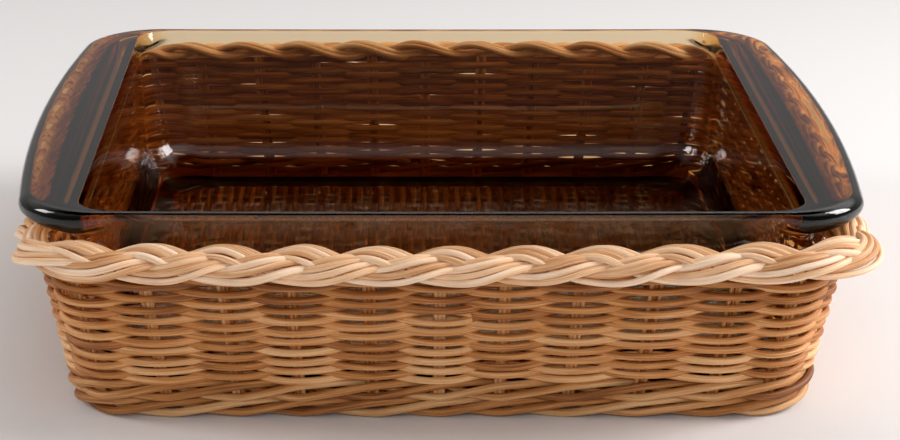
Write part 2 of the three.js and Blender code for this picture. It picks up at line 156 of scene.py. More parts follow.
# How far a reed has still to drop half a stake before it is lowest, and how far it overshoots at its top.
WALE_DROP = 0.6
WALE_OVERSHOOT = 0.3
WALE_STOPS = (-1, -0.5, 0, 0.5, 1, 1.5, 2, 2.5, 3, 3.5)
WALE_SWINGS = (-1, 0, 1, 1.12, 1, 0, -1, 0, 1, 1.1)
WALE_SAMPLES = 271
WALE_EASING = 11

# Base. Its stakes stand closer than halfway up the wall: at this share of the pitch there.
BASE_CLOSER = 0.945
BASE_MIDDLE = 3.15
BASE_REED = 1.0
BASE_ROWS = 10
BASE_ROW_PITCH = STAKE_PITCH * BASE_CLOSER / BASE_ROWS
BASE_OFFSET = 1.72
BASE_MARGIN = 3.3
# How far past the base's edge a long stake's two rows bend up, and how far short of it its middle reed ends.
LONG_REACH = 1
MIDDLE_REED_SHORT = 2
CROSS_POINTS = 60
ROW_POINTS = 160
EDGE_POINTS = 150
SMALL_STEP = 1.2
STAKE_SOFTENING = 3
ROW_SOFTENING = 1

# Border. Its face tilts outwards, and curls by this angle for each millimetre across it.
STRANDS = 3
BRAID_HEIGHT = 50.9
BRAID_TILT = math.radians(25)
BRAID_CURL = math.radians(7)
BRAID_OVERHANG = 3.4
BRAID_START = 0.5
BRAID_SWING = 3.6
BRAID_LIFT = 1.7
BRAID_PITCH = 20.6
FRONT_SAG = 0.7
BACK_RISE = 2.0
# How much higher and further out it is at its corners, from the front right round to the front left.
CORNER_RISE = (1.4, 1.0, 1.0, 0.8)
CORNER_REACH = (2.6, 1.0, 0.5, 0.0)
STRAND_REEDS = 4
STRAND_REED = 1.04
STRAND_REED_SHARES = (0.86, 1.12)
STRAND_SPREAD = 1.9
STRAND_CROWN = 0.05
STRAND_ROLL = 0.2
STRAND_WRAP = 0.1
STRAND_START = 1.3
STRAND_OVERLAP = 0.25
STRAND_POINTS = 24

# How far things stray, in millimetres.
WALL_STRAY = 0.22
ROW_STRAY = 0.18
REED_STRAY = 0.12
BASE_STRAY = 0.1
STRAND_STRAY = 0.3
STRAND_HEIGHT_STRAY = 0.18
# How much a reed's radius varies, as a share of it.
GIRTH_STRAY = 0.05
STAKE_GIRTH_STRAY = 0.06
# How far a millimetre of height shifts the waves along the wall, in stakes.
WALL_SLANT = 0.11
ROW_SLANT = 0.2

# First seeds of the random draws.
DRIFT_SEED = 5
WALL_SEED = 11
ROW_SEED = 21
WEAVER_SEED = 31
WALE_SEED = 61
CROSS_SEED = 100
LONG_SEED = 200
MIDDLE_SEED = 300
BASE_PATH_SEED = 400
BASE_REED_SEED = 500
STRAND_SEED = 600

# How much of a reed's section is left at its very end, where it is rounded off.
END_SHARE = 0.45
# Sides of the meshes of a stake or a reed of the base, of a side weaver, and of a reed of waling or border.
STAKE_SIDES = 8
WEAVER_SIDES = 10
THICK_SIDES = 12

# Finish of the reed. The shift, times its tone, gives each reed fibres of its own. The weights are those of
# fibres, drift and tone in its shade.
TONE_SHIFT = 977.0
FIBRE_WEIGHT = 0.8
DRIFT_WEIGHT = 0.9
TONE_WEIGHT = 0.35
DARKEST, PALEST = 0.74, 1.3

# Setting, in metres. The sensor and the lens are in millimetres.
FLOOR_REACH = 3.0
LAMP_TARGET = (0, 0, 0.03)
ROOM_COLOUR = "#dedbd9"
BACKDROP_STRENGTH = 0.96
SENSOR_WIDTH = 36
LENS_LENGTH = 101.7
LENS_SHIFT = 0.0863
CAMERA_X, CAMERA_Y = -0.0194, -0.7734
CAMERA_ABOVE_RIM = 0.2127
CAMERA_LOOKS_DOWN = math.radians(17.88)

X_RIGHT = (1, 0, 0)
Y_BACK = (0, 1, 0)
Z_UP = (0, 0, 1)


def smoothstep(value, low, high):
    share = np.clip((value - low) / (high - low), 0, 1)
    return share * share * (3 - 2 * share)


def wander(seed, at, waves, size):
    """A slow, seeded, uneven drift along something, made of a few waves."""
    rng = np.random.default_rng(seed)
    drift = np.zeros_like(at, dtype=float)
    for wave in waves:
        drift += rng.normal() * np.sin(at * wave + rng.uniform(0, 2 * math.pi))
    return size * drift / math.sqrt(len(waves))


def seeded_tone(seed):
    """Where a reed lies between the darkest and the palest, from 0 to 1."""
    return np.random.default_rng(seed).uniform(0, 1)


def bell(reach):
    """Weights that average a value with this many neighbours to either side."""
    weights = np.hanning(2 * reach + 3)[1:-1]
    return weights / weights.sum()


def soften(path, steps):
    """Rounds the turns of a path by averaging each point with its neighbours."""
    ends = np.vstack([np.repeat(path[:1], steps, 0), path, np.repeat(path[-1:], steps, 0)])
    return np.stack([np.convolve(ends[:, i], bell(steps), "valid") for i in range(3)], 1)


def evenly(corners, step):
    """Points spaced evenly along straight runs between corners."""
    corners = np.asarray(corners, dtype=float)
    lengths = np.linalg.norm(np.diff(corners, axis=0), axis=1)
    along = np.concatenate([[0], np.cumsum(lengths)])
    places = np.linspace(0, along[-1], max(2, round(along[-1] / step)))
    return np.stack([np.interp(places, along, corners[:, i]) for i in range(3)], 1)


# The wall's shape.
def wall_half(z):
    """Half the wall's width at a height. Near the table it tucks in."""
    low = np.clip((TUCK_HEIGHT - z) / TUCK_HEIGHT, 0, 1)
    return WALL_FOOT + WALL_SLOPE * z - TUCK_DEPTH * (1 - np.sqrt(1 - low * low))


def round_the_square(share, half, corner):
    """Points of a rounded square, and its outward normals, at shares of the way round it. Share 0 is in the
    middle of the front, and shares grow to the right."""
    straight = half - corner
    side = 2 * straight + math.pi / 2 * corner
    along = np.mod(share, 1) * 4 * side + straight
    quarter = np.floor(along / side)
    along = along - quarter * side
    bend = np.maximum(0, along - 2 * straight) / corner
    x = np.minimum(along, 2 * straight) - straight + corner * np.sin(bend)
    y = -half + corner * (1 - np.cos(bend))
    turn = quarter * math.pi / 2
    cos, sin = np.cos(turn), np.sin(turn)
    nx, ny = np.sin(bend), -np.cos(bend)
    return x * cos - y * sin, x * sin + y * cos, nx * cos - ny * sin, nx * sin + ny * cos


def stake_drifts():
    """How far every stake stands from even spacing, in stakes."""
    rng = np.random.default_rng(DRIFT_SEED)
    drifts = rng.uniform(-OTHER_DRIFT, OTHER_DRIFT, STAKES)
    half = len(FRONT_DRIFT) // 2
    for i, drift in enumerate(FRONT_DRIFT):
        drifts[i - half] = drift
    for i, drift in enumerate(BACK_DRIFT):
        drifts[STAKES // 2 + half - i] = -drift
    return drifts / STAKE_PITCH


DRIFTS = stake_drifts()


def wall_point(at, z, outside):
    """Points beside a stake number, at a height, this far outside the wall's middle surface."""
    at, z = np.asarray(at, dtype=float), np.asarray(z, dtype=float)
    drift = np.interp(np.mod(at, STAKES), np.arange(STAKES + 1), np.append(DRIFTS, DRIFTS[0]))
    x, y, nx, ny = round_the_square((at + drift) / STAKES, wall_half(z), WALL_CORNER)
    reach = np.asarray(outside) + wander(WALL_SEED, at + z * WALL_SLANT, (0.9, 1.7, 2.9), WALL_STRAY)
    return np.stack(np.broadcast_arrays(x + nx * reach, y + ny * reach, z), -1)


def at_corners(at, amounts):
    """A size that is nothing in the middle of each side and grows to its own amount at each corner, and
    the share of it reached. Corners go round from the front right."""
    sides = np.asarray(at) / STAKES * 4
    share = (2 * np.abs(sides - np.round(sides))) ** 2
    return np.array(amounts)[np.mod(np.floor(sides), 4).astype(int)] * share, share


def border_height(at):
    """The border stands higher at the corners and along the back than in the middle of the front."""
    rise, share = at_corners(at, CORNER_RISE)
    side = np.mod(np.round(np.asarray(at) / STAKES * 4), 4)
    middle_rise = np.where(side == 2, BACK_RISE, 0) - np.where(side == 0, FRONT_SAG, 0)
    return BRAID_HEIGHT + rise + middle_rise * (1 - share)


# Meshes.
def dress(mesh, name, material, body, node):
    """Puts a mesh in the scene on its body, in place of its CAD node, with its finish."""
    piece = bpy.data.objects.new(name, mesh)
    bpy.context.scene.collection.objects.link(piece)
    mesh.materials.append(material)
    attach(piece, body)
    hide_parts(node)


class Reeds:
    """Round reeds in one mesh. Each point also keeps its place on its reed as if that were straight."""

    def __init__(self):
        self.points, self.straight, self.tones = [], [], []
        self.loops, self.sizes = [], []
        self.count = 0

    def lay(self, path, radius, reference, tone, sides, flatten=1.0):
        """Adds a reed along a path. Flatten scales its section towards the reference direction."""
        path = np.asarray(path, dtype=float)
        tangent = np.gradient(path, axis=0)
        tangent /= np.linalg.norm(tangent, axis=1, keepdims=True)
        reference = np.broadcast_to(np.asarray(reference, dtype=float), path.shape)
        side = np.cross(tangent, reference)
        side /= np.linalg.norm(side, axis=1, keepdims=True)
        level = np.cross(side, tangent)
        radius = np.broadcast_to(np.asarray(radius, dtype=float), len(path)).copy()
        flatten = np.broadcast_to(np.asarray(flatten, dtype=float), len(path))
        along = np.concatenate([[0], np.cumsum(np.linalg.norm(np.diff(path, axis=0), axis=1))])
        ends_at = np.minimum(along, along[-1] - along)
        radius *= np.sqrt(np.clip(END_SHARE + ends_at / radius, 0, 1))
        angle = np.arange(sides) * 2 * math.pi / sides
        across, high = np.cos(angle), np.sin(angle)
        ring = side[:, None] * (radius[:, None] * across)[..., None]
        ring = ring + level[:, None] * ((radius * flatten)[:, None] * high)[..., None]
        self.points.append((path[:, None] + ring).reshape(-1, 3))
        length = along[:, None] + tone * TONE_SHIFT
        straight = np.broadcast_arrays(radius[:, None] * across, radius[:, None] * high, length)
        self.straight.append(np.stack(straight, -1).reshape(-1, 3))
        self.tones.append(np.full(len(path) * sides, tone))
        self.skin(len(path), sides)

    def skin(self, rings, sides):
        """Adds the faces of a reed: its round side and its two ends."""
        i = np.arange(rings - 1)[:, None] * sides
        j = np.arange(sides)[None, :]
        k = (j + 1) % sides
        quads = np.stack([i + j, i + sides + j, i + sides + k, i + k], -1).reshape(-1)
        self.loops += [quads + self.count, np.arange(sides) + self.count]
        self.loops.append(self.count + rings * sides - 1 - np.arange(sides))
        self.sizes += [np.full(len(quads) // 4, 4), np.array([sides, sides])]
        self.count += rings * sides

    def piece(self, node, material, slot="reed"):
        """Makes one piece of all the reeds, in place of a CAD node of the basket."""
        name = f"reed_{node}"
        loops, sizes = np.concatenate(self.loops), np.concatenate(self.sizes)
        mesh = bpy.data.meshes.new(name)
        mesh.vertices.add(self.count)
        mesh.vertices.foreach_set("co", (np.concatenate(self.points) * MM).astype(np.float32).ravel())
        mesh.loops.add(len(loops))
        mesh.loops.foreach_set("vertex_index", loops.astype(np.int32))
        mesh.polygons.add(len(sizes))
        starts = np.concatenate([[0], np.cumsum(sizes)[:-1]])
        mesh.polygons.foreach_set("loop_start", starts.astype(np.int32))
        mesh.polygons.foreach_set("loop_total", sizes.astype(np.int32))
        straight = mesh.attributes.new("straight", "FLOAT_VECTOR", "POINT")
        straight.data.foreach_set("vector", np.concatenate(self.straight).astype(np.float32).ravel())
        tones = mesh.attributes.new("tone", "FLOAT", "POINT")
        tones.data.foreach_set("value", np.concatenate(self.tones).astype(np.float32))
        mesh.update(calc_edges=True)
        mesh.shade_smooth()
        dress(mesh, name, material, "basket", node)


# Finishes.
def colour(text):
    """An sRGB hex colour as linear light."""
    parts = [int(text[i : i + 2], 16) / 255 for i in (1, 3, 5)]
    return [p / 12.92 if p <= 0.04045 else ((p + 0.055) / 1.055) ** 2.4 for p in parts] + [1]


def add_node(tree, kind, inputs, **settings):
    """Adds a node with its settings. An input is a value, or another node's output to link."""
    node = tree.nodes.new(kind)
    for name, value in settings.items():
        setattr(node, name, value)
    for name, value in inputs.items():
        if isinstance(value, bpy.types.NodeSocket):
            tree.links.new(value, node.inputs[name])
        else:
            node.inputs[name].default_value = value
    return node


def calculate(tree, operation, *values):
    """The result of a sum on values or outputs."""
    return add_node(tree, "ShaderNodeMath", dict(enumerate(values)), operation=operation).outputs[0]


def map_range(tree, value, start, end, low=0.0, high=1.0):
    """A value between start and end turned into one between low and high."""
    inputs = {"Value": value, "From Min": start, "From Max": end, "To Min": low, "To Max": high}
    return add_node(tree, "ShaderNodeMapRange", inputs).outputs["Result"]


def new_material(name):
    material = bpy.data.materials.new(name)
    material.use_nodes = True
    tree = material.node_tree
    tree.nodes.clear()
    return material, tree, tree.nodes.new("ShaderNodeOutputMaterial")


def stem_noise(tree, place, width, length, roughness):
    """Noise whose spots have this width round a reed and this length along it, in millimetres."""
    scale = (1 / width, 1 / width, 1 / length)
    scaled = add_node(tree, "ShaderNodeVectorMath", {0: place, 1: scale}, operation="MULTIPLY")
    inputs = {"Vector": scaled.outputs[0], "Scale": 1.0, "Detail": 2.0, "Roughness": roughness}
    return add_node(tree, "ShaderNodeTexNoise", inputs).outputs["Fac"]


def peeled_reed(name, dark, middle, pale):
    """Rattan core, drawn round and left unfinished: dull, with fine fibres that run along it."""
    material, tree, output = new_material(name)
    place = add_node(tree, "ShaderNodeAttribute", {}, attribute_name="straight").outputs["Vector"]
    tone = add_node(tree, "ShaderNodeAttribute", {}, attribute_name="tone").outputs["Fac"]
    # Fibres are about 0.1 mm wide. They are drawn 0.3 mm wide and 14 mm long, so that they show.
    fibres = stem_noise(tree, place, width=0.3, length=14, roughness=0.6)
    # The stem's own colour drifts over 45 mm of its length and about 2 mm of its girth.
    drift = stem_noise(tree, place, width=2, length=45, roughness=0.5)
    shade = calculate(tree, "MULTIPLY", fibres, FIBRE_WEIGHT)
    shade = calculate(tree, "MULTIPLY_ADD", drift, DRIFT_WEIGHT, shade)
    shade = calculate(tree, "MULTIPLY_ADD", tone, TONE_WEIGHT, shade)
    ramp = add_node(tree, "ShaderNodeValToRGB", {"Fac": map_range(tree, shade, DARKEST, PALEST)})
    stops = ramp.color_ramp.elements
    stops[0].color, stops[1].color = colour(dark), colour(pale)
    stops.new(0.5).color = colour(middle)
    relief = {"Height": fibres, "Distance": 0.00012, "Strength": 0.8}
    surface = add_node(
        tree,
        "ShaderNodeBsdfPrincipled",
        {
            "Base Color": ramp.outputs["Color"],
            "Roughness": map_range(tree, fibres, 0.3, 0.7, 0.48, 0.7),
            "Normal": add_node(tree, "ShaderNodeBump", relief).outputs["Normal"],
            "IOR": 1.5,
        },
    )
    tree.links.new(surface.outputs[0], output.inputs["Surface"])
    return material


def pressed_amber_glass():
    """Soda-lime glass, coloured in the melt and pressed: clear in a thin wall, near black through a lug."""
    material, tree, output = new_material("pressed_amber_glass")
    place = add_node(tree, "ShaderNodeTexCoord", {}).outputs["Object"]
    # Pressing leaves faint waves about 25 mm long.
    waves = add_node(tree, "ShaderNodeTexNoise", {"Vector": place, "Scale": 1 / 0.025, "Detail": 1.0})
    relief = {"Height": waves.outputs["Fac"], "Distance": 0.0002, "Strength": 0.3}
    surface = add_node(
        tree,
        "ShaderNodeBsdfPrincipled",
        {
            "Base Color": (1, 1, 1, 1),
            "Roughness": 0.0,
            "IOR": 1.51,
            "Transmission Weight": 1.0,
            "Normal": add_node(tree, "ShaderNodeBump", relief).outputs["Normal"],
        },
    )
    stain = {"Color": (0.8, 0.52, 0.0, 1), "Density": 260.0}
    inside = add_node(tree, "ShaderNodeVolumeAbsorption", stain)
    tree.links.new(surface.outputs[0], output.inputs["Surface"])
    tree.links.new(inside.outputs[0], output.inputs["Volume"])
    return material


def pale_paper():
    """A plain, dull, nearly white floor."""
    material, tree, output = new_material("pale_paper")
    look = {"Base Color": colour("#e8e6e6"), "Roughness": 0.8, "IOR": 1.4}
    surface = add_node(tree, "ShaderNodeBsdfPrincipled", look)
    tree.links.new(surface.outputs[0], output.inputs["Surface"])
    return material


# The wall's reeds.
def side_weaver(which, length, material):
    """One reed woven over one stake and under the next."""
    first = length * STAKES * WEAVER_TURNS + 1
    last = first - 1 + STAKES * WEAVER_TURNS
    if length == 0:
        first -= STARTS_EARLY[which]
    if length == WEAVER_LENGTHS - 1:
        last += ENDS_LATE[which]
    at = np.arange(first - WEAVER_TAIL, last + WEAVER_TAIL, 1 / POINTS_PER_STAKE)
    swing = np.cos(math.pi * (at + which))
    crest = np.cos(3 * math.pi * (at + which))
    tail = np.maximum(first - TAIL_STRAIGHT - at, at - last - TAIL_STRAIGHT) / TAIL_BEND
    outside = WEAVER_OFFSET * (WAVE_GAIN * swing - CREST_FLATTENS * crest)
    outside = outside - TAIL_DEPTH * np.clip(tail, 0, 1)
    turn = at / STAKES + which / 2
    ceiling = border_height(at) - WEAVE_UNDER
    stretch = (ceiling - WEAVE_START) / (WEAVE_TOP - WEAVE_START)
    z = WEAVE_START + stretch * (WEAVER_RISE * turn + WEAVER_RISE_GAIN * turn * np.abs(turn))
    z = np.clip(z, WEAVE_FLOOR, ceiling) - WEAVER_SAG * swing
    seed = WEAVER_SEED + 7 * which + length
    z = z + wander(ROW_SEED, at + z * ROW_SLANT, (0.31, 0.83, 1.9), ROW_STRAY)
    z = z + wander(seed, at, (0.7, 2.1, 3.3), REED_STRAY)
    radius = WEAVER_REED * (1 + wander(seed + 10, at, (0.05, 0.3, 1.1), GIRTH_STRAY))
    # A reed rises by this much in one turn, which holds two rows.
    rise = stretch * (WEAVER_RISE + 2 * WEAVER_RISE_GAIN * np.abs(turn))
    crossing = np.maximum(CROSSING_HEIGHT, (rise / 4 + CROSSING_OVERLAP) / WEAVER_REED)
    height = crossing + (OUTSIDE_HEIGHT - crossing) * np.clip(swing, 0, 1)
    height = height + (INSIDE_HEIGHT - crossing) * np.clip(-swing, 0, 1)
    reeds = Reeds()
    reeds.lay(wall_point(at, z, outside), radius, Z_UP, seeded_tone(seed + 20), WEAVER_SIDES, height)
    reeds.piece(f"side_weaver_{'ab'[which]}{length + 1}", material)


def eased(turn, values):
    """A course of waling values at its stops, rounded off, at places along it."""
    dense = np.linspace(WALE_STOPS[0], WALE_STOPS[-1], WALE_SAMPLES)
    course = np.pad(np.interp(dense, WALE_STOPS, values), WALE_EASING, "edge")
    return np.interp(turn, dense, np.convolve(course, bell(WALE_EASING), "valid"))


def wale_reed(round_number, reed, material):
    """A waling reed climbs outside two stakes, passes behind the third and drops again."""
    low = WALE_REED + round_number * WALE_PITCH
    high = low + WALE_STEP
    start = WALE_START - reed
    at = np.arange(start, start + STAKES + WALE_OVERLAP, 1 / POINTS_PER_STAKE)
    turn = np.mod(at + reed, WALE_REEDS)
    dropping = low + WALE_DROP
    climb = (low + high) / 2
    heights = (high, dropping, low, climb, high, high + WALE_OVERSHOOT, high, dropping, low, high)
    outside = WALE_OFFSET * eased(turn, WALE_SWINGS)
    seed = WALE_SEED + WALE_REEDS * round_number + reed
    z = eased(turn, heights) + wander(seed, at, (0.5, 1.3, 2.2), REED_STRAY)
    radius = WALE_REED * (1 + wander(seed + 10, at, (0.3, 0.9), GIRTH_STRAY))
    path = wall_point(at, np.maximum(z, WALE_REED), outside)
    reeds = Reeds()
    reeds.lay(path, radius, Z_UP, seeded_tone(seed + 20), THICK_SIDES)
    reeds.piece(f"wale_round_{round_number + 1}_reed_{reed + 1}", material)


def upright(at, shift=0):
    """Corners of a stake's path from the border down to its bend into the base."""
    heights = np.linspace(border_height(at) - STAKE_TUCK, TUCK_HEIGHT, UPRIGHT_POINTS)
    return wall_point(np.full(UPRIGHT_POINTS, at + shift / STAKE_PITCH), heights, np.zeros(UPRIGHT_POINTS))


# The base's reeds. Cross stakes run left to right and are numbered from the front, long stakes run front to
# back and are numbered from the left.
RIGHT_STAKES = math.ceil(STAKES / 4 - SIDE_STAKES / 2) + np.arange(SIDE_STAKES)
FRONT_STAKES = np.arange(LONG_STAKES) - (LONG_STAKES - 1) / 2
base_half = wall_half(BASE_MIDDLE)
base_edge = base_half - BASE_MARGIN
cross_y = round_the_square(RIGHT_STAKES / STAKES, base_half, WALL_CORNER)[1]
long_x = round_the_square(FRONT_STAKES / STAKES, base_half, WALL_CORNER)[0]


def over_and_under(x, y, phase):
    """Points of a base reed that passes over one cross stake and under the next."""
    wave = np.interp(y, cross_y, np.arange(SIDE_STAKES))
    wave = wave + (y < cross_y[0]) * (y - cross_y[0]) / STAKE_PITCH
    wave = wave + (y > cross_y[-1]) * (y - cross_y[-1]) / STAKE_PITCH
    z = BASE_MIDDLE + BASE_OFFSET * phase * np.cos(math.pi * wave)
    return np.stack(np.broadcast_arrays(x, y, z), -1)


def cross_stake(index, material):
    """Three reeds side by side, from the left wall straight across the base to the right wall."""
    right = RIGHT_STAKES[index]
    left = STAKES - right
    across = np.linspace(-base_edge, base_edge, CROSS_POINTS)
    reeds = Reeds()
    for i, shift in enumerate((-STAKE_SPREAD, 0, STAKE_SPREAD)):
        seed = CROSS_SEED + 3 * index + i
        base = np.stack(np.broadcast_arrays(across, cross_y[index] + shift, BASE_MIDDLE), -1)
        path = np.vstack([upright(left, -shift), base, upright(right, shift)[::-1]])
        path = soften(evenly(path, SMALL_STEP), STAKE_SOFTENING)
        along = np.arange(len(path)) * SMALL_STEP
        path[:, 1] += wander(seed, along, (0.05, 0.11), REED_STRAY)
        radius = STAKE_REED * (1 + wander(seed + 40, along, (0.02, 0.09), STAKE_GIRTH_STRAY))
        reeds.lay(path, radius, Y_BACK, seeded_tone(seed), STAKE_SIDES)
    reeds.piece(f"cross_stake_{index + 1:02d}", material)


def long_stake(index, material):
    """Three reeds side by side up the front and back walls. Two of them cross the base as rows of its
    weave, and the middle one ends just inside it."""
    front = FRONT_STAKES[index]
    back = STAKES / 2 - front
    y = np.linspace(-base_edge - LONG_REACH, base_edge + LONG_REACH, ROW_POINTS)
    reeds = Reeds()
    for i, side in enumerate((-1, 1)):
        seed = LONG_SEED + 3 * index + i
        shift = side * STAKE_SPREAD
        base = over_and_under(long_x[index] + side * BASE_ROW_PITCH / 2, y, side)
        path = np.vstack([upright(front, shift), base, upright(back, -shift)[::-1]])
        path = soften(evenly(path, SMALL_STEP), STAKE_SOFTENING)
        along = np.arange(len(path)) * SMALL_STEP
        girth = LONG_REED_GAIN + wander(seed + 40, along, (0.02, 0.09), STAKE_GIRTH_STRAY)
        reeds.lay(path, STAKE_REED * girth, X_RIGHT, seeded_tone(seed), STAKE_SIDES)
    for at, side in ((front, -1), (back, 1)):
        seed = MIDDLE_SEED + 3 * index + side
        foot = [[long_x[index], side * (base_edge - MIDDLE_REED_SHORT), BASE_MIDDLE]]
        path = soften(evenly(np.vstack([upright(at), foot]), SMALL_STEP), STAKE_SOFTENING)
        reeds.lay(path, STAKE_REED, X_RIGHT, seeded_tone(seed), STAKE_SIDES)
    reeds.piece(f"long_stake_{index + 1:02d}", material)


def base_weaver(bay, material):
    """A reed that goes back and forth over the cross stakes, and fills the bay between two long stakes."""
    pitch = (long_x[bay + 1] - long_x[bay]) / BASE_ROWS
    y = np.linspace(-base_edge, base_edge, ROW_POINTS)
    rows = []
    for row in range(1, BASE_ROWS - 1):
        phase = 1 if row % 2 == 0 else -1
        line = over_and_under(long_x[bay] + (row + 0.5) * pitch, y, phase)
        line[:, 0] += wander(BASE_PATH_SEED + 10 * bay + row, y, (0.04, 0.13), BASE_STRAY)
        rows.append(line if row % 2 else line[::-1])
    path = soften(evenly(np.vstack(rows), SMALL_STEP), ROW_SOFTENING)
    along = np.arange(len(path)) * SMALL_STEP
    seed = BASE_REED_SEED + bay
    radius = BASE_REED * (1 + wander(seed, along, (0.01, 0.05, 0.2), GIRTH_STRAY))
    reeds = Reeds()
    reeds.lay(path, radius, Z_UP, seeded_tone(seed + 10), STAKE_SIDES)
    reeds.piece(f"base_weaver_{bay + 1:02d}", material)


def edge_weaver(side, material):
    """A single row beyond the outermost long stake, at the right of the base or mirrored at the left."""
    low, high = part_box("edge_weaver_right")
    x = side * (low[0] + high[0]) / 2 / MM
    y = np.linspace(low[1] / MM, high[1] / MM, EDGE_POINTS)
    reeds = Reeds()
    reeds.lay(over_and_under(x, y, -1), BASE_REED, Z_UP, tone=0.5, sides=STAKE_SIDES)
    reeds.piece("edge_weaver_right" if side > 0 else "edge_weaver_left", material)


# The border.
def braid_point(at, across, lift):
    """Points of the border beside a stake number, this far across its rolled-over face and up from it."""
    middle = wall_half(BRAID_HEIGHT) + at_corners(at, CORNER_REACH)[0]
    x, y, nx, ny = round_the_square(at / STAKES, middle, WALL_CORNER)
    turn = BRAID_TILT + BRAID_CURL * across
    sin, cos = np.sin(turn), np.cos(turn)
    out = BRAID_OVERHANG + (sin - math.sin(BRAID_TILT)) / BRAID_CURL + lift * sin
    up = border_height(at) + (cos - math.cos(BRAID_TILT)) / BRAID_CURL + lift * cos
    return np.stack([x + nx * out, y + ny * out, up], -1), np.stack([nx * sin, ny * sin, cos], -1)


def border_strand(strand, material):
    """Four reeds plaited as one strand. It swings across the braid once every three stakes."""
    start = STAKES / 2 + BRAID_START - strand + STRAND_START
    stake = np.arange(start, start + STAKES + STRAND_OVERLAP, 1 / STRAND_POINTS)
    angle = 2 * math.pi * (stake - BRAID_START + strand) / STRANDS
    across = BRAID_SWING * np.sin(angle)
    lift = -BRAID_LIFT * np.sin(2 * angle)
    slope = BRAID_SWING * np.cos(angle) * 2 * math.pi / STRANDS / BRAID_PITCH
    roll = -STRAND_ROLL * np.cos(angle) - STRAND_WRAP * np.sin(angle)
    stretch = np.sqrt(1 + slope * slope)
    reeds = Reeds()
    for i in range(STRAND_REEDS):
        seed = STRAND_SEED + 10 * strand + i
        beside = (i - (STRAND_REEDS - 1) / 2) * STRAND_SPREAD
        beside = beside + wander(seed, stake, (0.7, 1.9, 3.1), STRAND_STRAY)
        at = stake - beside * slope / stretch / BRAID_PITCH
        height = lift + roll * beside - STRAND_CROWN * beside**2
        height = height + wander(seed + 100, stake, (0.9, 2.3), STRAND_HEIGHT_STRAY)
        points, face = braid_point(at, across + beside / stretch, height)
        rng = np.random.default_rng(seed)
        girth = rng.uniform(*STRAND_REED_SHARES) * (1 + wander(seed + 200, stake, (0.3, 1.1), GIRTH_STRAY))
        reeds.lay(points, STRAND_REED * girth, face, rng.uniform(0, 1), THICK_SIDES)
    reeds.piece(f"border_strand_{strand + 1}", material, "border_reed")


# The dish.
def dish_half(z):
    """Half the width of the dish's outside at a height, at its left and right walls."""
    return CAVITY_WIDTH / 2 + GLASS_WALL - (RIM_TOP - z) * math.tan(GLASS_DRAFT)


def cavity_half(z):
    """Half the width of the dish's inside at a height, at its left and right walls."""
    return dish_half(z) - GLASS_WALL


def flare(z, most):
    """How much further out the front and back walls lean, growing evenly up to the rim."""
    return most * max(0, 1 - (RIM_TOP - z) / FLARE_HEIGHT)


def dish_ring(x, z, corner, y=None, bow=0, end_z=None):
    """One level of the dish: a rounded rectangle whose ends bow out, with its own height at the ends."""
    y = x if y is None else y
    end_z = z if end_z is None else end_z
    px, py = [], []
    for quarter in range(4):
        sx = 1 if quarter in (0, 3) else -1
        sy = 1 if quarter < 2 else -1
        angle = (quarter + np.arange(CORNER_POINTS + 1) / CORNER_POINTS) * math.pi / 2
        px.append(sx * (x - corner) + corner * np.cos(angle))
        py.append(sy * (y - corner) + corner * np.sin(angle))
        t = 1 - 2 * np.arange(1, SIDE_POINTS) / SIDE_POINTS
        px.append(sx * t * (x - corner) if quarter % 2 == 0 else np.full_like(t, sx * x))
        py.append(np.full_like(t, sy * y) if quarter % 2 == 0 else sy * t * (y - corner))
    px, py = np.concatenate(px), np.concatenate(py)
    bulge = bow * (1 - (py / y) ** 2) * np.clip((np.abs(px) - x + corner) / corner, 0, 1)
    share = smoothstep(np.abs(px), CAVITY_WIDTH / 2 - BEAD_BLEND, CAVITY_WIDTH / 2)
    return np.stack([px + np.sign(px) * bulge, py, z + (end_z - z) * share], -1)


def fillet_rings(half, bottom, radius, corner):
    """Levels of a fillet from a flat bottom up to where it meets the wall."""
    tangent = bottom + radius * (1 - math.sin(GLASS_DRAFT))
    rings = []
    for i in range(FILLET_STEPS + 1):
        angle = i / FILLET_STEPS * (math.pi / 2 - GLASS_DRAFT)
        x = half(tangent) - radius * (math.cos(GLASS_DRAFT) - math.sin(angle))
        rings.append(dish_ring(x, bottom + radius * (1 - math.cos(angle)), corner))
    return rings


def rim_ring(turn):
    """A level of the rim's outer edge, from its underside at -90 degrees to its top at 90."""
    lug_inset = LUG_ROUND * (1 - math.cos(turn))
    share = (turn / math.pi + 0.5) * (len(BEAD_OUT) - 1)
    bead_out = np.interp(share, range(len(BEAD_OUT)), BEAD_OUT)
    y = dish_half(BEAD_UNDER) + flare(BEAD_UNDER, WALL_FLARE) + bead_out
    z = RIM_TOP - np.interp(share, range(len(BEAD_DOWN)), BEAD_DOWN)
    end_z = (LUG_UNDER + RIM_TOP + math.sin(turn) * LUG_THICKNESS) / 2
    return dish_ring(LUG_EDGE - lug_inset, z, LUG_CORNER - lug_inset / 2, y, LUG_BOW, end_z)


def outer_rings():
    """The foot, the outside of the wall, and the rim with its lugs, going up."""
    rings = fillet_rings(dish_half, DISH_BOTTOM, FOOT_FILLET, FLOOR_CORNER)
    foot_top = rings[-1][0, 2]
    for share in WALL_LEVELS:
        z = foot_top + share * (BEAD_UNDER - foot_top)
        corner = FLOOR_CORNER + share * (CAVITY_CORNER + GLASS_WALL - FLOOR_CORNER)
        y = dish_half(z) + flare(z, WALL_FLARE)
        rings.append(dish_ring(dish_half(z), z, corner, y, end_z=z + share * (LUG_UNDER - BEAD_UNDER)))
    return rings + [rim_ring(math.pi * (i / EDGE_STEPS - 0.5)) for i in range(EDGE_STEPS + 1)]


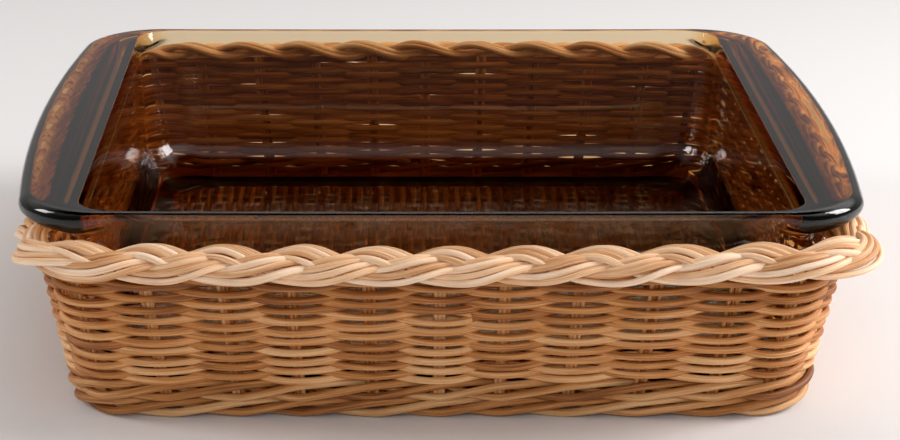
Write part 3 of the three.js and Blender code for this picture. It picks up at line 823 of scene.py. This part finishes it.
def inner_rings():
    """The rounded lip, the inside of the wall, and the fillet to the floor, going down."""
    rings = []
    for i in range(LIP_STEPS + 1):
        turn = math.pi / 2 * i / LIP_STEPS
        inset = LIP_ROUND * (1 - math.sin(turn))
        drop = LIP_ROUND * (1 - math.cos(turn))
        x = CAVITY_WIDTH / 2 + inset
        y = CAVITY_WIDTH / 2 + LIP_FLARE + inset
        rings.append(dish_ring(x, RIM_TOP - LIP_DROP * drop, CAVITY_CORNER, y, end_z=RIM_TOP - drop))
    floor_top = DISH_BOTTOM + GLASS_FLOOR
    fillet = fillet_rings(cavity_half, floor_top, GLASS_FILLET, FLOOR_CORNER - GLASS_WALL)
    for share in CAVITY_LEVELS:
        z = RIM_TOP - LIP_ROUND + share * (fillet[-1][0, 2] - RIM_TOP + LIP_ROUND)
        corner = CAVITY_CORNER + share * (FLOOR_CORNER - GLASS_WALL - CAVITY_CORNER)
        rings.append(dish_ring(cavity_half(z), z, corner, cavity_half(z) + flare(z, LIP_FLARE)))
    return rings + fillet[::-1]


def glass_dish(material):
    """One closed skin of rings, from the underside out over the rim and in to the floor."""
    rings = outer_rings() + inner_rings()
    count = len(rings[0])
    points = np.concatenate(rings)
    # The front and back rims dip a little between the lugs.
    high = np.clip((points[:, 2] - DISH_BOTTOM) / (RIM_TOP - DISH_BOTTOM), 0, 1)
    middle = np.clip(1 - (points[:, 0] / LUG_EDGE) ** 2, 0, 1)
    points[:, 2] -= RIM_DIP * middle * high**4
    faces = [list(range(count))[::-1]]
    for i in range(len(rings) - 1):
        for j in range(count):
            k = (j + 1) % count
            faces.append([i * count + j, i * count + k, (i + 1) * count + k, (i + 1) * count + j])
    faces.append([(len(rings) - 1) * count + j for j in range(count)])
    mesh = bpy.data.meshes.new("pressed_glass_dish")
    mesh.from_pydata((points * MM).tolist(), [], faces)
    mesh.shade_smooth()
    dress(mesh, "pressed_glass_dish", material, "dish", "glass_dish")


# The setting.
def floor():
    corners = [(x * FLOOR_REACH, y * FLOOR_REACH, 0) for x, y in ((-1, -1), (1, -1), (1, 1), (-1, 1))]
    mesh = bpy.data.meshes.new("paper_floor")
    mesh.from_pydata(corners, [], [(0, 1, 2, 3)])
    mesh.materials.append(pale_paper())
    sheet = bpy.data.objects.new("paper_floor", mesh)
    bpy.context.scene.collection.objects.link(sheet)


def soft_light(name, place, size, watts, tint="#ffffff", mirrored=True):
    """A rectangle of light. One that isn't mirrored leaves no reflection of itself in the glass."""
    lamp = bpy.data.lights.new(name, "AREA")
    lamp.shape = "RECTANGLE"
    lamp.size, lamp.size_y = size
    lamp.energy = watts
    lamp.color = colour(tint)[:3]
    light = bpy.data.objects.new(name, lamp)
    light.location = place
    light.visible_glossy = mirrored
    light.visible_transmission = mirrored
    direction = np.array(LAMP_TARGET) - np.array(place)
    flat = math.hypot(direction[0], direction[1])
    light.rotation_euler = (math.atan2(flat, -direction[2]), 0, math.atan2(-direction[0], direction[1]))
    bpy.context.scene.collection.objects.link(light)


def room_light(tree):
    """Strength of the room's light by direction. Low down it is paler behind the basket. Higher it is
    stronger from the right, and there is none straight overhead."""
    place = add_node(tree, "ShaderNodeTexCoord", {}).outputs["Generated"]
    towards = add_node(tree, "ShaderNodeSeparateXYZ", {0: place}).outputs
    low = map_range(tree, towards["Y"], -0.6, 0.8, 0.12, 0.42)
    low = calculate(tree, "MULTIPLY", low, map_range(tree, towards["Z"], 0.55, 0.82, 1.0, 0.0))
    heights = add_node(tree, "ShaderNodeValToRGB", {"Fac": towards["Z"]})
    stops = heights.color_ramp.elements
    for height, level in ((0.33, 0.0), (0.48, 0.9), (0.7, 1.0), (0.82, 0.0)):
        stops.new(height).color = (level, level, level, 1)
    stops[0].color = stops[-1].color = (0, 0, 0, 1)
    high = map_range(tree, towards["X"], -0.3, 0.8, 0.35, 1.9)
    return calculate(tree, "MULTIPLY_ADD", heights.outputs["Color"], high, low)


def studio():
    soft_light("right_softbox", (0.9, 0.0, 0.5), (0.45, 0.45), 9.6, "#fffdfb")
    soft_light("left_softbox", (-0.88, 0.0, 0.48), (0.3, 0.3), 3.1, "#fdfaf8")
    soft_light("front_fill", (-0.1, -1.4, 0.6), (0.9, 0.5), 4.4, mirrored=False)
    soft_light("top_panel", (0.1, 0.3, 1.1), (0.8, 0.6), 2.4, mirrored=False)
    world = bpy.data.worlds.new("studio")
    world.use_nodes = True
    tree = world.node_tree
    back = tree.nodes["Background"]
    back.inputs["Color"].default_value = colour(ROOM_COLOUR)
    seen = add_node(tree, "ShaderNodeLightPath", {}).outputs["Is Camera Ray"]
    strength = map_range(tree, seen, 0.0, 1.0, room_light(tree), BACKDROP_STRENGTH)
    tree.links.new(strength, back.inputs["Strength"])
    bpy.context.scene.world = world


def camera():
    lens = bpy.data.cameras.new("camera")
    lens.sensor_width = SENSOR_WIDTH
    lens.lens = LENS_LENGTH
    lens.shift_x = LENS_SHIFT
    view = bpy.data.objects.new("camera", lens)
    view.location = (CAMERA_X, CAMERA_Y, RIM_TOP * MM + CAMERA_ABOVE_RIM)
    view.rotation_euler = (math.pi / 2 - CAMERA_LOOKS_DOWN, 0, 0)
    bpy.context.scene.collection.objects.link(view)
    bpy.context.scene.camera = view


# Everything, put together.
# The wall's palette is the reed's own colour made darker and more saturated than the border's: painted shade
# of the gaps between its rows. The stakes and the base use it too.
wall_reed_with_painted_shade = peeled_reed("peeled_reed", "#824819", "#c88547", "#ecbc87")
# The waling's palette is the wall's made darker still: painted shade at the foot of the basket.
foot_reed_with_painted_shade = peeled_reed("peeled_foot_reed_painted_shade", "#754018", "#b8793e", "#daad7a")
border_finish = peeled_reed("peeled_border_reed", "#c48a56", "#f0c296", "#fbe2c8")
for which in range(WEAVERS):
    for length in range(WEAVER_LENGTHS):
        side_weaver(which, length, wall_reed_with_painted_shade)
for round_number in range(WALE_ROUNDS):
    for reed in range(WALE_REEDS):
        wale_reed(round_number, reed, foot_reed_with_painted_shade)
for index in range(SIDE_STAKES):
    cross_stake(index, wall_reed_with_painted_shade)
for index in range(LONG_STAKES):
    long_stake(index, wall_reed_with_painted_shade)
for bay in range(LONG_STAKES - 1):
    base_weaver(bay, wall_reed_with_painted_shade)
for side in (-1, 1):
    edge_weaver(side, wall_reed_with_painted_shade)
for strand in range(STRANDS):
    border_strand(strand, border_finish)
glass_dish(pressed_amber_glass())
floor()
studio()
camera()
bpy.context.scene.view_settings.view_transform = "Standard"
